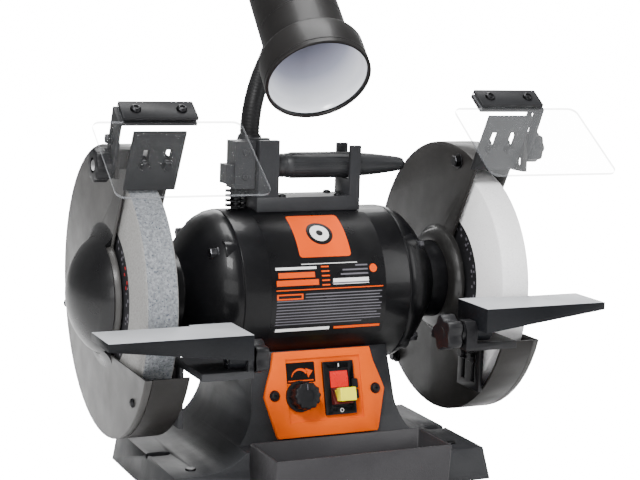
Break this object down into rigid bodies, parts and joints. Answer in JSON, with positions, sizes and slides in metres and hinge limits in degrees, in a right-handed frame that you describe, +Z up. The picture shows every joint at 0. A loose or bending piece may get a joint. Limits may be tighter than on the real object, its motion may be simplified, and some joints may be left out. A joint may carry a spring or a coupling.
{
  "type": "bench grinder",
  "caption": "Variable-speed bench grinder with coarse grey and fine white wheels, guards, eye shields, tilting tool rests, wheel dresser, quench tray and a flexible work light.",
  "frame": {"origin": "on the bench under the middle of the whole machine", "axes": "+X along the spindle to the user's right, +Y to the rear, +Z up"},
  "size_m": [0.422, 0.2856, 0.4658],
  "materials": {
    "cast_paint": "dark charcoal satin paint",
    "motor_paint": "gloss black paint",
    "guard_paint": "dark charcoal satin paint",
    "orange_panel": "orange plastic",
    "black_plastic": "black moulded plastic",
    "rocker_red": "red plastic",
    "key_yellow": "yellow plastic",
    "rubber": "black rubber",
    "grey_stone": "coarse blue-grey abrasive",
    "white_stone": "white abrasive",
    "turned_steel": "machined steel",
    "lamination": "stacked steel sheet",
    "copper": "varnished copper wire",
    "rest_metal": "cast, machined on top",
    "clear_sheet": "clear polycarbonate",
    "lamp_black": "satin black paint",
    "lamp_white": "gloss white enamel",
    "bulb_white": "frosted glass",
    "capacitor_can": "drawn can",
    "circuit_board": "green laminate"
  },
  "bodies": {
    "base": {"base_casting": "cast_paint", "rubber_foot_front_left": "rubber", "rubber_foot_front_right": "rubber", "rubber_foot_rear_left": "rubber", "rubber_foot_rear_right": "rubber", "control_panel": "orange_panel", "switch_housing": "black_plastic", "speed_board": "circuit_board", "run_capacitor": "capacitor_can", "cord_gland": "black_plastic", "motor_housing": "motor_paint", "left_end_bell": "motor_paint", "right_end_bell": "motor_paint", "stator_core": "lamination", "stator_windings": "copper", "left_bearing": "turned_steel", "right_bearing": "turned_steel", "left_guard_body": "guard_paint", "left_guard_cover": "guard_paint", "right_guard_body": "guard_paint", "right_guard_cover": "guard_paint", "dresser_cradle": "cast_paint"},
    "spindle_assembly": {"spindle": "turned_steel", "rotor_core": "lamination", "left_inner_flange": "turned_steel", "left_wheel": "grey_stone", "left_outer_flange": "turned_steel", "left_spindle_nut": "turned_steel", "right_inner_flange": "turned_steel", "right_wheel": "white_stone", "right_outer_flange": "turned_steel", "right_spindle_nut": "turned_steel"},
    "tray": {"quench_tray": "cast_paint"},
    "dial": {"speed_knob": "black_plastic"},
    "rocker": {"switch_rocker": "rocker_red"},
    "key": {"safety_key": "key_yellow"},
    "dresser": {"dresser_handle": "cast_paint"},
    "cutters": {"dresser_cutters": "turned_steel"},
    "neck_lower": {"gooseneck_lower": "lamp_black"},
    "neck_upper": {"gooseneck_upper": "lamp_black"},
    "lamp": {"lamp_shade": "lamp_black", "lamp_reflector": "lamp_white", "lamp_bulb": "bulb_white"},
    "left_bracket": {"left_rest_bracket": "guard_paint"},
    "left_rest": {"left_tool_rest": "rest_metal"},
    "left_rest_knob_body": {"left_rest_knob": "black_plastic"},
    "left_deflector": {"left_spark_deflector": "guard_paint"},
    "left_shield_slide": {"left_shield_knob": "black_plastic"},
    "left_shield": {"left_shield_bracket": "guard_paint", "left_eye_shield": "clear_sheet", "left_shield_clamp": "guard_paint"},
    "right_bracket": {"right_rest_bracket": "guard_paint"},
    "right_rest": {"right_tool_rest": "rest_metal"},
    "right_rest_knob_body": {"right_rest_knob": "black_plastic"},
    "right_deflector": {"right_spark_deflector": "guard_paint"},
    "right_shield_slide": {"right_shield_knob": "black_plastic"},
    "right_shield": {"right_shield_bracket": "guard_paint", "right_eye_shield": "clear_sheet", "right_shield_clamp": "guard_paint"}
  },
  "joints": [
    {"name": "spindle_spin", "type": "hinge", "parent": "base", "child": "spindle_assembly", "pos_m": [0, 0.01483, 0.162], "axis": [1, 0, 0], "continuous": true},
    {"name": "tray_slide", "type": "slide", "parent": "base", "child": "tray", "axis": [0, -1, 0], "range_m": [0, 0.055]},
    {"name": "speed_dial_turn", "type": "hinge", "parent": "base", "child": "dial", "pos_m": [-0.023, -0.04922, 0.08191], "axis": [0, 0.9608, -0.2773], "range_deg": [0, 280]},
    {"name": "switch_rocker_tilt", "type": "hinge", "parent": "base", "child": "rocker", "pos_m": [0.0131, -0.04598, 0.08592], "axis": [1, 0, 0], "range_deg": [0, 16]},
    {"name": "safety_key_pull", "type": "slide", "parent": "rocker", "child": "key", "axis": [0, -0.9608, 0.2773], "range_m": [0, 0.02]},
    {"name": "dresser_lift", "type": "slide", "parent": "base", "child": "dresser", "axis": [0, 0, 1], "range_m": [0, 0.03]},
    {"name": "dresser_cutters_spin", "type": "hinge", "parent": "dresser", "child": "cutters", "pos_m": [-0.058, 0.01483, 0.238], "axis": [0, 0, 1], "continuous": true},
    {"name": "neck_swivel", "type": "hinge", "parent": "base", "child": "neck_lower", "pos_m": [-0.036, 0.04183, 0.2793], "axis": [0, 0, 1], "range_deg": [-15, 15]},
    {"name": "neck_bend", "type": "hinge", "parent": "neck_lower", "child": "neck_upper", "pos_m": [0.0076, 0.09299, 0.3739], "axis": [1, 0, 0], "range_deg": [-25, 3]},
    {"name": "lamp_aim", "type": "hinge", "parent": "neck_upper", "child": "lamp", "pos_m": [-0.0049, 0.0657, 0.43856], "axis": [0, -0.6722, 0.7403], "range_deg": [-30, 30]},
    {"name": "left_rest_slide", "type": "slide", "parent": "base", "child": "left_bracket", "axis": [0, -1, 0], "range_m": [-0.002, 0.012]},
    {"name": "left_rest_tilt", "type": "hinge", "parent": "left_bracket", "child": "left_rest", "pos_m": [-0.105, -0.11217, 0.1335], "axis": [1, 0, 0], "range_deg": [-5, 25]},
    {"name": "left_rest_knob_turn", "type": "hinge", "parent": "left_bracket", "child": "left_rest_knob_body", "pos_m": [-0.088, -0.11217, 0.1335], "axis": [1, 0, 0], "continuous": true},
    {"name": "left_deflector_slide", "type": "slide", "parent": "base", "child": "left_deflector", "axis": [0, -0.4848, 0.8746], "range_m": [-0.002, 0.008]},
    {"name": "left_shield_height", "type": "slide", "parent": "base", "child": "left_shield_slide", "axis": [0, 0, 1], "range_m": [-0.0025, 0.012]},
    {"name": "left_shield_tilt", "type": "hinge", "parent": "left_shield_slide", "child": "left_shield", "pos_m": [-0.186, -0.04817, 0.2733], "axis": [1, 0, 0], "range_deg": [-40, 20]},
    {"name": "right_rest_slide", "type": "slide", "parent": "base", "child": "right_bracket", "axis": [0, -1, 0], "range_m": [-0.002, 0.012]},
    {"name": "right_rest_tilt", "type": "hinge", "parent": "right_bracket", "child": "right_rest", "pos_m": [0.105, -0.11217, 0.142], "axis": [1, 0, 0], "range_deg": [-5, 25]},
    {"name": "right_rest_knob_turn", "type": "hinge", "parent": "right_bracket", "child": "right_rest_knob_body", "pos_m": [0.076, -0.11217, 0.142], "axis": [1, 0, 0], "continuous": true},
    {"name": "right_deflector_slide", "type": "slide", "parent": "base", "child": "right_deflector", "axis": [0, -0.4848, 0.8746], "range_m": [-0.014, 0.002]},
    {"name": "right_shield_height", "type": "slide", "parent": "base", "child": "right_shield_slide", "axis": [0, 0, 1], "range_m": [-0.004, 0.0025]},
    {"name": "right_shield_tilt", "type": "hinge", "parent": "right_shield_slide", "child": "right_shield", "pos_m": [0.179, -0.04817, 0.2838], "axis": [1, 0, 0], "range_deg": [-40, 20]}
  ]
}
